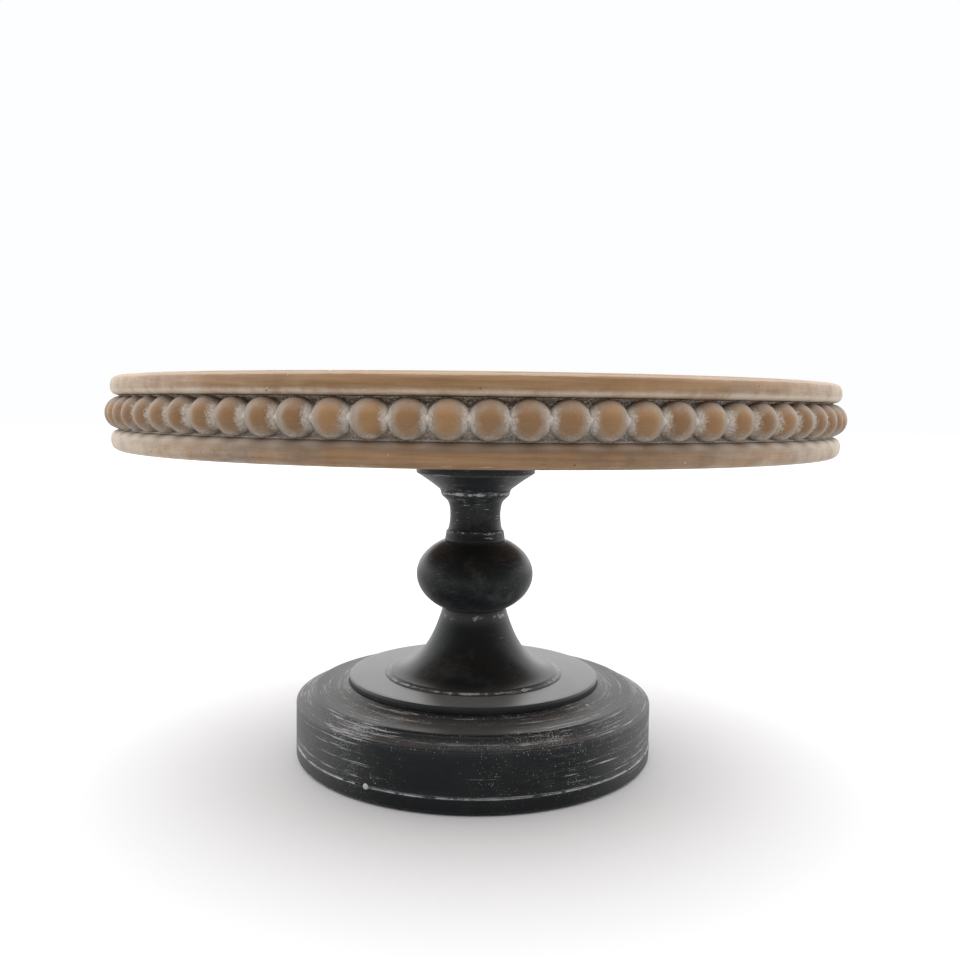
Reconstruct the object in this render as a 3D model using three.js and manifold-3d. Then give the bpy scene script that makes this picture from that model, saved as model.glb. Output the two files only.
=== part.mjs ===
// A pedestal cake stand in turned wood, in millimetres, +Z up. The origin is the centre of the
// plane it stands on. A beaded plate of three boards is screwed down on a turned pedestal by one
// threaded rod, which runs from a nut under the base to a tee nut inside the plate.

import * as THREE from "three";
import { mergeVertices } from "three/addons/utils/BufferGeometryUtils.js";
import Module from "manifold-3d";

const wasm = await Module();
wasm.setup();

// Plate: two boards with round rims, and a smaller core board that leaves a channel for the beads
const plateDia = 300.8;
const topBoardThick = 7.4;
const bottomBoardThick = 7.9;
const rimRound = 3.7;

// Beads: wooden balls with flat ends, threaded on a cord that lies in the channel
const beadDia = 12.6;
const beadEndDia = 5.6;
const beadGap = 0.469;
const beadPitchShare = 0.93; // least length of ring for a bead, as a share of its diameter
const beadProud = 2; // how far the beads stand out past the rims
const channelClear = 0.3; // above, below and behind a bead
const strandCount = 6;
const cordDia = 2;

// Capital, from its seat on the ball up to the plate
const collarDia = 26.8;
const collarTopDia = 25.2;
const collarHeight = 4.6;
const neckDia = 22.6;
const neckHeight = 15.6;
const ridgeDia = 31.8;
const ridgeHeight = 2.9;
const cupDia = 52.4;
const cupHeight = 6.4;
const cupBandHeight = 10.7;

// Ball knop and bell-shaped foot
const ballDia = 51.6;
const ballHeight = 29.7;
const ballEndDia = 28.8;
const bellTopDia = 28.4;
const bellHeight = 29.1;
const bellFootDia = 75;
const bellEdgeHeight = 1.4;

// Base: a disc on a moulded plinth on a thinner bottom board
const discDia = 110;
const discThick = 3.9;
const discEdge = 0.8;
const baseDia = 156;
const wallHeight = 17.7;
const wallRound = 1.1;
const ledgeWidth = 5.4;
const ledgeRise = 1.6;
const stepHeight = 2.5;
const coveRise = 1.5;
const footThick = 5.9;
const grooveDepth = 0.8; // bevel on both sides of the joint between plinth and bottom board

// Hardware: one M8 rod with its washer, nut and tee nut, and felt pads
const rodDia = 8;
const rodBoreClear = 0.25;
const threadClear = 0.15;
const rodStub = 1.5; // rod left showing below the nut
const rodPastTeeNut = 3;
const washerDia = 24;
const washerThick = 2;
const nutWall = 2.5;
const nutThick = 6.5;
const recessClear = 4; // around the washer
const recessSpare = 1; // depth of the recess past the end of the rod
const teeFlangeDia = 22;
const teeFlangeThick = 1.5;
const teeBarrelWall = 1;
const teeBarrelLength = 7.5;
const prongWidth = 3;
const prongThick = 1;
const prongLength = 5.5;
const hardwareClear = 0.3;
const padDia = 20;
const padThick = 1;
const padInset = 6; // from the rim of the base
const padCount = 4;

const glueLine = 0.1; // left between pieces that are glued or clamped face to face

// Sides of the polygons that stand for round sections
const plateSides = 64;
const baseSides = 48;
const spindleSides = 36;
const hardwareSides = 20;
const beadSides = 8;
const cordSides = 6;

// Sizes that follow from the ones above
const beadRing = plateDia / 2 + beadProud - beadDia / 2;
const coreDia = 2 * (beadRing - beadDia / 2 - channelClear);
const coreThick = beadDia + 2 * channelClear;
const recessDia = washerDia + 2 * recessClear;
const nutFlats = rodDia + 2 * nutWall;
const teeBarrelDia = rodDia + 2 * teeBarrelWall;
const padRadius = baseDia / 2 - padInset - padDia / 2;
const plinthHeight = wallHeight + ledgeRise + stepHeight + coveRise;
const capitalHeight = collarHeight + neckHeight + ridgeHeight + cupHeight + cupBandHeight;

// Height of each piece's underside above the floor, from the bottom up
const footLevel = padThick + glueLine;
const plinthLevel = footLevel + footThick + glueLine;
const discLevel = plinthLevel + plinthHeight + glueLine;
const bellLevel = discLevel + discThick + glueLine;
const ballLevel = bellLevel + bellHeight + glueLine;
const capitalLevel = ballLevel + ballHeight + glueLine;
const bottomBoardLevel = capitalLevel + capitalHeight + glueLine;
const coreLevel = bottomBoardLevel + bottomBoardThick + glueLine;
const topBoardLevel = coreLevel + coreThick + glueLine;

// The recess under the base holds the washer, the nut and the rod's end, and bottoms in the plinth
const recessDepth = washerThick + nutThick + rodStub + recessSpare;
const recessInPlinth = recessDepth - footThick;
const washerLevel = plinthLevel + recessInPlinth - washerThick - glueLine;
const nutLevel = washerLevel - nutThick - glueLine;
const rodLevel = nutLevel - rodStub;
const teeNutLevel = coreLevel + glueLine; // underside of the tee nut's flange
const rodTop = teeNutLevel + teeFlangeThick + rodPastTeeNut;

const whitewash = { color: 0x9c7856, roughness: 0.75, metalness: 0 };
const blackPaint = { color: 0x232425, roughness: 0.45, metalness: 0 };
const steel = { color: 0xb4b4b0, roughness: 0.35, metalness: 1 };
const felt = { color: 0x2b2a29, roughness: 0.95, metalness: 0 };

const stand = new THREE.Group();

function add(name, geometry, finish, level = 0) {
  const mesh = new THREE.Mesh(geometry, new THREE.MeshStandardMaterial(finish));
  mesh.name = name;
  mesh.position.z = level;
  stand.add(mesh);
}

// A solid turned about +Z. Its outline is [radius, height] points, up the outside and down the bore.
function turned(outline, sides) {
  const points = outline.map(([radius, height]) => new THREE.Vector2(radius, height));
  return new THREE.LatheGeometry(points, sides).rotateX(Math.PI / 2);
}

// Points of a quarter circle of the given radius about a centre, without its first point
function arc(centreRadius, centreHeight, radius, startDegrees, endDegrees, steps) {
  return Array.from({ length: steps }, (_, i) => {
    const angle = THREE.MathUtils.degToRad(
      THREE.MathUtils.lerp(startDegrees, endDegrees, (i + 1) / steps),
    );
    return [centreRadius + radius * Math.cos(angle), centreHeight + radius * Math.sin(angle)];
  });
}

// Points of a cubic Bezier curve through its four [radius, height] control points
function bezier(controls, steps) {
  const [a, b, c, d] = controls.map(([radius, height]) => new THREE.Vector2(radius, height));
  return new THREE.CubicBezierCurve(a, b, c, d).getPoints(steps).map(({ x, y }) => [x, y]);
}

// Corners of a regular polygon, given the diameter across them
function polygon(acrossCorners, sides) {
  return Array.from({ length: sides }, (_, i) => {
    const angle = (2 * Math.PI * i) / sides;
    return new THREE.Vector2(Math.cos(angle), Math.sin(angle)).multiplyScalar(acrossCorners / 2);
  });
}

// Side of a ball of the given diameter, cut flat at both ends, from height 0 to its full height
function ballSide(dia, height, endDia, steps) {
  const poleReach = height / 2 / Math.sqrt(1 - (endDia / dia) ** 2);
  return Array.from({ length: steps + 1 }, (_, i) => {
    const fromMiddle = height * (i / steps - 0.5);
    return [(dia / 2) * Math.sqrt(1 - (fromMiddle / poleReach) ** 2), fromMiddle + height / 2];
  });
}

function toSolid(geometry) {
  const bare = geometry.index ? geometry.toNonIndexed() : geometry.clone();
  bare.deleteAttribute("normal");
  bare.deleteAttribute("uv");
  const merged = mergeVertices(bare, 1e-4);
  return new wasm.Manifold(
    new wasm.Mesh({
      numProp: 3,
      vertProperties: merged.attributes.position.array,
      triVerts: new Uint32Array(merged.index.array),
    }),
  );
}

function toGeometry(solid) {
  const { vertProperties, triVerts } = solid.getMesh();
  const geometry = new THREE.BufferGeometry();
  geometry.setAttribute("position", new THREE.BufferAttribute(vertProperties, 3));
  geometry.setIndex(new THREE.BufferAttribute(triVerts, 1));
  geometry.computeVertexNormals();
  return geometry;
}

const rodBore = rodDia / 2 + rodBoreClear;

// ---- Base ----

function footBoard() {
  const outside = baseDia / 2;
  return turned(
    [
      [recessDia / 2, 0],
      [outside - 0.6, 0],
      [outside, 0.6],
      [outside, footThick - grooveDepth],
      [outside - grooveDepth, footThick],
      [recessDia / 2, footThick],
      [recessDia / 2, 0],
    ],
    baseSides,
  );
}

function plinth() {
  const outside = baseDia / 2;
  const ledgeOuter = outside - wallRound;
  const ledgeInner = ledgeOuter - ledgeWidth;
  const ledgeTop = wallHeight + ledgeRise;
  const stepTop = ledgeTop + stepHeight;
  const coveOuter = ledgeInner - 1.3;
  const coveWidth = coveOuter - discDia / 2;
  const cove = [0.5, 0.8, 1].map((t) => [
    coveOuter - coveWidth * t,
    stepTop + coveRise * (1 - Math.sqrt(1 - t * t)),
  ]);
  return turned(
    [
      [recessDia / 2, 0],
      [outside - grooveDepth, 0],
      [outside, grooveDepth],
      [outside, wallHeight - wallRound],
      ...arc(ledgeOuter, wallHeight - wallRound, wallRound, 0, 90, 2),
      [ledgeInner, ledgeTop],
      [ledgeInner - 0.7, stepTop - 0.6],
      [coveOuter, stepTop],
      ...cove,
      [rodBore, plinthHeight],
      [rodBore, recessInPlinth],
      [recessDia / 2, recessInPlinth],
      [recessDia / 2, 0],
    ],
    baseSides,
  );
}

function baseDisc() {
  const outside = discDia / 2;
  return turned(
    [
      [rodBore, 0],
      [outside, 0],
      [outside, discThick - discEdge],
      ...arc(outside - discEdge, discThick - discEdge, discEdge, 0, 90, 2),
      [rodBore, discThick],
      [rodBore, 0],
    ],
    baseSides,
  );
}

add("base_bottom_board", footBoard(), blackPaint, footLevel);
add("base_plinth", plinth(), blackPaint, plinthLevel);
add("base_top_disc", baseDisc(), blackPaint, discLevel);

// ---- Pedestal ----

function bell() {
  const flare = [
    [bellFootDia / 2, bellEdgeHeight],
    [0.61 * (bellFootDia / 2), bellEdgeHeight + 1.7],
    [bellTopDia / 2 + 2.8, bellHeight * 0.64],
    [bellTopDia / 2, bellHeight],
  ];
  return turned(
    [[rodBore, 0], [bellFootDia / 2, 0], ...bezier(flare, 9), [rodBore, bellHeight], [rodBore, 0]],
    spindleSides,
  );
}

function ball() {
  const side = ballSide(ballDia, ballHeight, ballEndDia, 10);
  return turned([[rodBore, 0], ...side, [rodBore, ballHeight], [rodBore, 0]], spindleSides);
}

function capital() {
  const neckTop = collarHeight + neckHeight;
  const cupBottom = neckTop + ridgeHeight;
  const cupTop = cupBottom + cupHeight;
  const neck = [
    [collarTopDia / 2 - 0.4, collarHeight],
    [neckDia / 2 - 0.5, collarHeight + 0.18 * neckHeight],
    [neckDia / 2 - 1.1, collarHeight + 0.65 * neckHeight],
    [ridgeDia / 2 - 0.5, neckTop],
  ];
  const cup = [
    [ridgeDia / 2 + 1.9, cupBottom],
    [ridgeDia / 2 + 5.2, cupBottom + 0.45 * cupHeight],
    [cupDia / 2 - 2.6, cupBottom + 0.72 * cupHeight],
    [cupDia / 2, cupTop],
  ];
  return turned(
    [
      [rodBore, 0],
      [collarDia / 2, 0],
      [collarTopDia / 2, collarHeight - 0.3],
      ...bezier(neck, 6),
      [ridgeDia / 2, neckTop + 0.7],
      [ridgeDia / 2 + 0.2, neckTop + 0.6 * ridgeHeight],
      ...bezier(cup, 4),
      [cupDia / 2, capitalHeight],
      [rodBore, capitalHeight],
      [rodBore, 0],
    ],
    spindleSides,
  );
}

add("bell_foot", bell(), blackPaint, bellLevel);
add("ball_knop", ball(), blackPaint, ballLevel);
add("capital", capital(), blackPaint, capitalLevel);

// ---- Plate ----

// Rim of a board: both edges rounded, as far as half its thickness allows
function rim(thick) {
  const round = Math.min(rimRound, thick / 2 - 0.01);
  const centre = plateDia / 2 - round;
  return [
    [centre, 0],
    ...arc(centre, round, round, -90, 0, 3),
    ...arc(centre, thick - round, round, 0, 90, 3),
  ];
}

// The tee nut's four prongs point down from height 0, and reach a little above it. Their slots are
// larger by the clearance.
function prongs(clear, above) {
  const depth = prongLength + clear;
  return [0, 1, 2, 3].map((i) =>
    toSolid(
      new THREE.BoxGeometry(prongThick + 2 * clear, prongWidth + 2 * clear, depth + above)
        .translate(teeFlangeDia / 2 - prongThick, 0, (above - depth) / 2)
        .rotateZ((i * Math.PI) / 2),
    ),
  );
}

function bottomBoard() {
  const hole = teeBarrelDia / 2 + hardwareClear;
  const outline = [[hole, 0], ...rim(bottomBoardThick), [hole, bottomBoardThick], [hole, 0]];
  const slots = prongs(hardwareClear, 1).map((slot) => slot.translate([0, 0, bottomBoardThick]));
  return toGeometry(
    slots.reduce((board, slot) => board.subtract(slot), toSolid(turned(outline, plateSides))),
  );
}

function coreBoard() {
  const outside = coreDia / 2;
  const pocket = teeFlangeDia / 2 + hardwareClear;
  const pocketDepth = teeFlangeThick + glueLine + hardwareClear;
  const rodHole = rodDia / 2 + 2 * hardwareClear;
  const rodHoleTop = rodTop - coreLevel + 1.5;
  return turned(
    [
      [pocket, 0],
      [outside, 0],
      [outside, coreThick],
      [0, coreThick],
      [0, rodHoleTop],
      [rodHole, rodHoleTop],
      [rodHole, pocketDepth],
      [pocket, pocketDepth],
      [pocket, 0],
    ],
    plateSides,
  );
}

function topBoard() {
  return turned([[0, 0], ...rim(topBoardThick), [0, topBoardThick]], plateSides);
}

add("bottom_board", bottomBoard(), whitewash, bottomBoardLevel);
add("core_board", coreBoard(), whitewash, coreLevel);
add("top_board", topBoard(), whitewash, topBoardLevel);

// ---- Beads ----

// As many beads as fit on a strand's share of the ring, each as long as its place allows
const strandAngle = (2 * Math.PI) / strandCount;
const beadsPerStrand = Math.floor((beadRing * strandAngle) / (beadPitchShare * beadDia));
const beadAngle = strandAngle / beadsPerStrand;
const beadLength = beadRing * beadAngle - beadGap;

// A bead about +Y, centred on the origin, so that it lies along the ring at angle 0
function bead() {
  const side = ballSide(beadDia, beadLength, beadEndDia, 4);
  const outline = [[0, 0], ...side, [0, beadLength]];
  const points = outline.map(([radius, along]) => new THREE.Vector2(radius, along - beadLength / 2));
  return new THREE.LatheGeometry(points, beadSides);
}

class RingArc extends THREE.Curve {
  constructor(radius, start, end) {
    super();
    this.radius = radius;
    this.start = start;
    this.end = end;
  }

  getPoint(t, target = new THREE.Vector3()) {
    const angle = THREE.MathUtils.lerp(this.start, this.end, t);
    return target.set(this.radius * Math.cos(angle), this.radius * Math.sin(angle), 0);
  }
}

function cord(start, end) {
  return new THREE.ExtrudeGeometry(new THREE.Shape(polygon(cordDia, cordSides)), {
    extrudePath: new RingArc(beadRing, start, end),
    steps: beadsPerStrand - 1,
    bevelEnabled: false,
  });
}

// The first bead of the first strand sits at the front, on -Y
function strand(index) {
  const first = index * strandAngle - Math.PI / 2;
  const last = first + (beadsPerStrand - 1) * beadAngle;
  const beads = Array.from({ length: beadsPerStrand }, (_, i) =>
    toSolid(bead().translate(beadRing, 0, 0).rotateZ(first + i * beadAngle)),
  );
  const threaded = beads.reduce((joined, one) => joined.add(one), toSolid(cord(first, last)));
  return toGeometry(threaded.asOriginal().simplify());
}

for (let i = 0; i < strandCount; i++) {
  add(`bead_strand_${i + 1}`, strand(i), whitewash, coreLevel + coreThick / 2);
}

// ---- Hardware ----

function washer() {
  const hole = rodDia / 2 + rodBoreClear;
  return turned(
    [
      [hole, 0],
      [washerDia / 2, 0],
      [washerDia / 2, washerThick],
      [hole, washerThick],
      [hole, 0],
    ],
    hardwareSides,
  );
}

function rod() {
  const length = rodTop - rodLevel;
  return turned(
    [
      [0, 0],
      [rodDia / 2 - 0.8, 0],
      [rodDia / 2, 0.8],
      [rodDia / 2, length - 0.8],
      [rodDia / 2 - 0.8, length],
      [0, length],
    ],
    hardwareSides,
  );
}

function hexNut() {
  const outline = new THREE.Shape(polygon(nutFlats / Math.cos(Math.PI / 6), 6));
  outline.holes.push(new THREE.Path().absarc(0, 0, rodDia / 2 + threadClear, 0, 2 * Math.PI, true));
  return new THREE.ExtrudeGeometry(outline, {
    depth: nutThick,
    bevelEnabled: false,
    curveSegments: hardwareSides,
  });
}

function teeNut() {
  const bore = rodDia / 2 + threadClear;
  const body = turned(
    [
      [bore, -teeBarrelLength],
      [teeBarrelDia / 2, -teeBarrelLength],
      [teeBarrelDia / 2, 0],
      [teeFlangeDia / 2, 0],
      [teeFlangeDia / 2, teeFlangeThick],
      [bore, teeFlangeThick],
      [bore, -teeBarrelLength],
    ],
    hardwareSides,
  );
  return toGeometry(
    prongs(0, teeFlangeThick / 2).reduce((nut, prong) => nut.add(prong), toSolid(body)),
  );
}

add("tie_rod", rod(), steel, rodLevel);
add("washer", washer(), steel, washerLevel);
add("hex_nut", hexNut(), steel, nutLevel);
add("tee_nut", teeNut(), steel, teeNutLevel);

for (let i = 0; i < padCount; i++) {
  const pad = new THREE.CylinderGeometry(padDia / 2, padDia / 2, padThick, hardwareSides)
    .rotateX(Math.PI / 2)
    .translate(padRadius, 0, padThick / 2)
    .rotateZ(((i + 0.5) * 2 * Math.PI) / padCount);
  add(`felt_pad_${i + 1}`, pad, felt);
}

export default stand;
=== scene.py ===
# %% [markdown]
# # A beaded cake stand
# The stand is a plate of three boards with a ring of wooden beads in its edge, on a pedestal and
# base of turned wood painted black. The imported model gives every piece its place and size. This
# lesson builds a finer surface over each piece and gives it its finish: whitewashed wood, rubbed
# black paint, zinc-plated steel, cotton cord and felt. Blender works in metres, and outlines are
# written in millimetres, as a turner would draw them.

# %% The frame
import math
import bpy
import numpy as np
from mathutils import Matrix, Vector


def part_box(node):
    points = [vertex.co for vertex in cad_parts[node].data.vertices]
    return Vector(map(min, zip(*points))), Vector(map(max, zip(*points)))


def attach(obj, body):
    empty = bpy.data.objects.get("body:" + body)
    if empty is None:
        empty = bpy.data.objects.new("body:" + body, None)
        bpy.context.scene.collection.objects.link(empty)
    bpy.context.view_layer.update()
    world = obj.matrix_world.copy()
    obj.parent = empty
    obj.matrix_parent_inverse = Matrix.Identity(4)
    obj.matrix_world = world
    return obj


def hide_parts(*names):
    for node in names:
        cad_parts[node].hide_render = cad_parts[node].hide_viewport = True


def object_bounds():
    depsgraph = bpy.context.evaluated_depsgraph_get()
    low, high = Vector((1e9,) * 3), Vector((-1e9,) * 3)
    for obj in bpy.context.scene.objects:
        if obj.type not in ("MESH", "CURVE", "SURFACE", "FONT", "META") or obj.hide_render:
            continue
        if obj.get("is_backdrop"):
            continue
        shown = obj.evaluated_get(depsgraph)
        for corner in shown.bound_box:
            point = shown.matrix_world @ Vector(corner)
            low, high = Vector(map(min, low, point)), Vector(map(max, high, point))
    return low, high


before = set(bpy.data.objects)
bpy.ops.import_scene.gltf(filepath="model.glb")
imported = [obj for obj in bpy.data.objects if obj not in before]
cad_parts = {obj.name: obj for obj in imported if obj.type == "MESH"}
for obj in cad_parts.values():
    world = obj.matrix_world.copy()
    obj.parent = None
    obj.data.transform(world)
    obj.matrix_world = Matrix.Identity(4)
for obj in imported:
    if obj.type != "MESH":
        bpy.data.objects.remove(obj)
cad_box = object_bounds()
mm = 0.001

# %% [markdown]
# ## Camera
# The camera comes first, because every other choice is judged through it. It stands at table
# height, just under the level of the plate's top, so the plate is seen edge on and the base is
# seen from above. It is turned a little on its own axis, as a hand-held camera is. A quarter turn
# about X lays a Blender camera level, and the pitch is taken off that.

# %% Camera
camera_distance = 432 * mm
camera_height = 152.2 * mm
camera_side = math.radians(-1.5)
camera_aim = math.radians(0.25)
camera_pitch = math.radians(4.27)
camera_roll = math.radians(0.68)

camera_data = bpy.data.cameras.new("camera")
camera_data.sensor_width = 36
camera_data.lens = 36.86
camera_data.clip_start = 0.01
camera = bpy.data.objects.new("camera", camera_data)
bpy.context.scene.collection.objects.link(camera)
camera.matrix_world = (
    Matrix.Rotation(camera_side, 4, "Z")
    @ Matrix.Translation((0, -camera_distance, camera_height))
    @ Matrix.Rotation(-camera_aim, 4, "Z")
    @ Matrix.Rotation(math.pi / 2 - camera_pitch, 4, "X")
    @ Matrix.Rotation(camera_roll, 4, "Z")
)
bpy.context.scene.camera = camera
print("camera at", [round(v, 4) for v in camera.matrix_world.translation])

# %% [markdown]
# ## Shader node helpers
# A material in Blender is a graph of nodes. A few small helpers keep the graphs short to write.
# They add a node and link or set its inputs, do arithmetic on numbers and on vectors, turn a range
# of values into a mask between 0 and 1, and mix two colours by a mask.

# %% Shader node helpers
def feed(tree, node, inputs):
    """Links or sets each input of a node, by its name or number."""
    for key, value in dict(inputs).items():
        if isinstance(value, bpy.types.NodeSocket):
            tree.links.new(value, node.inputs[key])
        else:
            node.inputs[key].default_value = value


def put(tree, kind, inputs=(), **settings):
    """Adds a node, with its settings and inputs."""
    made = tree.nodes.new("ShaderNode" + kind)
    for name, value in settings.items():
        setattr(made, name, value)
    feed(tree, made, inputs)
    return made


def calc(tree, operation, *values):
    """Arithmetic on numbers or sockets."""
    return put(tree, "Math", enumerate(values), operation=operation).outputs[0]


def times(tree, first, second):
    return calc(tree, "MULTIPLY", first, second)


def plus(tree, first, second):
    return calc(tree, "ADD", first, second)


def minus(tree, first, second):
    return calc(tree, "SUBTRACT", first, second)


def most(tree, first, second):
    return calc(tree, "MAXIMUM", first, second)


def line(tree, value, slope, offset):
    """slope * value + offset."""
    return calc(tree, "MULTIPLY_ADD", value, slope, offset)


def split(tree, vector):
    """The X, Y and Z of a vector."""
    return put(tree, "SeparateXYZ", {0: vector}).outputs


def join(tree, x=0.0, y=0.0, z=0.0):
    return put(tree, "CombineXYZ", {0: x, 1: y, 2: z}).outputs[0]


def reach_of(tree, vector):
    return put(tree, "VectorMath", {0: vector}, operation="LENGTH").outputs["Value"]


def resize(tree, vector, factor):
    return put(tree, "VectorMath", {0: vector, "Scale": factor}, operation="SCALE").outputs[0]


def ramp(tree, value, low, high, to_low=0.0, to_high=1.0):
    """Eases from to_low to to_high while the value goes from low to high, and clamps outside."""
    inputs = {0: value, 1: low, 2: high, 3: to_low, 4: to_high}
    return put(tree, "MapRange", inputs, interpolation_type="SMOOTHSTEP").outputs[0]


def blend(tree, mask, first, second, blend_type="MIX"):
    """Colour between first and second, by a mask."""
    inputs = {0: mask, 6: first, 7: second}
    return put(tree, "Mix", inputs, data_type="RGBA", blend_type=blend_type).outputs[2]

# %% [markdown]
# ## Light
# A white studio lights the stand: bright walls at the back and sides, a soft ceiling, and a
# darker room behind the camera, which is what gloss paint mirrors as black. Area lamps could do
# it, but a world colour that changes with direction is one smooth light with no edges to mirror.
# Camera rays see plain white instead.

# %% Light
world = bpy.data.worlds.new("studio")
bpy.context.scene.world = world
world.use_nodes = True
sky = world.node_tree
sky.nodes.clear()
direction = put(sky, "TexCoord").outputs["Generated"]
_, depth, height = split(sky, direction)
room, walls, ceiling = 0.14, 2.1, 2.1
around = ramp(sky, depth, -0.75, 0.35, room, walls)
overhead = ramp(sky, height, 0.35, 0.85)
glow = put(sky, "Mix", {0: overhead, 2: around, 3: ceiling}).outputs[0]
seen = put(sky, "LightPath").outputs["Is Camera Ray"]
strength = put(sky, "Mix", {0: seen, 2: glow, 3: 1.0}).outputs[0]
background = put(sky, "Background", {"Color": (0.985, 0.99, 1.0, 1), "Strength": strength})
put(sky, "OutputWorld", {0: background.outputs[0]})
bpy.context.scene.view_settings.view_transform = "Standard"
print("light: room", room, "walls", walls, "ceiling", ceiling)

# %% [markdown]
# ## Outlines
# Every round piece starts as half of its cross-section: a list of radius and height, up the
# outside, over the top and down the bore. Corners on turned wood are never knife sharp, so each
# corner is written with a setback, and a small curve takes its place. A bevel modifier could
# round them too, but a setback for each corner gives a crisp edge here and a soft one there.

# %% Outlines
def eased(corners, steps=6):
    """Rounds corners given as [radius, height, setback]. Each becomes a quadratic Bezier curve,
    which leaves its straight edge one setback before the corner and joins the next one after."""
    corners = np.array(corners, float)
    point, setback = corners[:, :2], corners[:, 2:]
    back = np.roll(point, 1, axis=0) - point
    ahead = np.roll(point, -1, axis=0) - point
    start = point + setback * back / np.maximum(np.linalg.norm(back, axis=1), 1e-9)[:, None]
    end = point + setback * ahead / np.maximum(np.linalg.norm(ahead, axis=1), 1e-9)[:, None]
    t = np.linspace(0, 1, steps)[None, :, None]
    start, middle, end = start[:, None], point[:, None], end[:, None]
    rounded = (1 - t) ** 2 * start + 2 * t * (1 - t) * middle + t**2 * end
    rounded = rounded.reshape(-1, 2)
    moved = np.linalg.norm(np.diff(rounded, axis=0, prepend=rounded[:1] - 1), axis=1) > 1e-3
    return rounded[moved]


def sweep(a, b, c, d, steps=28):
    """A cubic Bezier curve through four control points, as corners without a setback."""
    t = np.linspace(0, 1, steps)[:, None]
    terms = (1 - t) ** 3, 3 * (1 - t) ** 2 * t, 3 * (1 - t) * t**2, t**3
    points = sum(term * np.array(p, float) for term, p in zip(terms, (a, b, c, d)))
    return [[radius, height, 0] for radius, height in points]


def filled(outline, step=2.5):
    """Adds points where two neighbours are more than a step apart: the outline is measured along
    its length, and read again at its own points and at even steps between them."""
    length = np.concatenate([[0], np.cumsum(np.linalg.norm(np.diff(outline, axis=0), axis=1))])
    marks = np.concatenate([length, np.arange(0, length[-1], step)])
    marks = np.sort(marks)
    marks = marks[np.concatenate([[True], np.diff(marks) > 0.02])]
    return np.column_stack([np.interp(marks, length, outline[:, i]) for i in (0, 1)])

# %% [markdown]
# ## From arrays to a mesh
# Points are worked out as whole arrays and handed to Blender in one go, which is fast and leaves
# no stray vertices. A grid of rows and columns needs four corners for each cell. Values that a
# material reads, such as how worn a place is, go on the points as attributes. Every piece then
# gets its material and its body, and the imported pieces it replaces are hidden.

# %% Grid and mesh
def cells(rows, columns, close_rows):
    """Corners of the cells of a grid that closes on itself along its columns, and along its rows
    as well if asked, in such an order that the column direction crossed with the row direction
    is out."""
    row = np.arange(rows if close_rows else rows - 1)[:, None]
    column = np.arange(columns)[None, :]
    above, beside = (row + 1) % rows, (column + 1) % columns
    corners = [row * columns + column, row * columns + beside,
               above * columns + beside, above * columns + column]
    return np.stack(corners, axis=-1).reshape(-1, 4)


def fans(around, first, last, pole):
    """Triangles that close a grid of so many columns: the row that starts at point number first
    closes on point number pole, and the row that starts at last on the point after it."""
    column = np.arange(around)
    beside = (column + 1) % around
    low = np.column_stack([np.full(around, pole), first + beside, first + column])
    high = np.column_stack([np.full(around, pole + 1), last + column, last + beside])
    return np.concatenate([low, high])


def make_mesh(name, points, quads, triangles=None):
    """Points are in millimetres. Quads and triangles are rows of point numbers."""
    triangles = np.zeros((0, 3), int) if triangles is None else triangles
    mesh = bpy.data.meshes.new(name)
    mesh.vertices.add(len(points))
    mesh.vertices.foreach_set("co", (np.asarray(points) * mm).astype(np.float32).ravel())
    corners = np.concatenate([quads.ravel(), triangles.ravel()]).astype(np.int32)
    mesh.loops.add(len(corners))
    mesh.loops.foreach_set("vertex_index", corners)
    triangle_starts = 4 * len(quads) + 3 * np.arange(len(triangles))
    starts = np.concatenate([4 * np.arange(len(quads)), triangle_starts])
    mesh.polygons.add(len(starts))
    mesh.polygons.foreach_set("loop_start", starts.astype(np.int32))
    mesh.update(calc_edges=True)
    mesh.validate()
    mesh.shade_smooth()
    return mesh


def store(mesh, **values):
    """Puts one number, or one vector, on each point under the given name."""
    for name, value in values.items():
        value = np.asarray(value, np.float32)
        kind, field = ("FLOAT_VECTOR", "vector") if value.ndim == 2 else ("FLOAT", "value")
        mesh.attributes.new(name, kind, "POINT").data.foreach_set(field, value.ravel())


def place(mesh, material, replaces=()):
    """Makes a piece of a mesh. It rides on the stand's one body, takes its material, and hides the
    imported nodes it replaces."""
    piece = bpy.data.objects.new(mesh.name, mesh)
    bpy.context.scene.collection.objects.link(piece)
    mesh.materials.append(material)
    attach(piece, "root")
    if replaces:
        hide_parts(*replaces)
    faces = sum(len(polygon.vertices) - 2 for polygon in mesh.polygons)
    print(mesh.name, faces, "triangles")
    return piece
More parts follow.
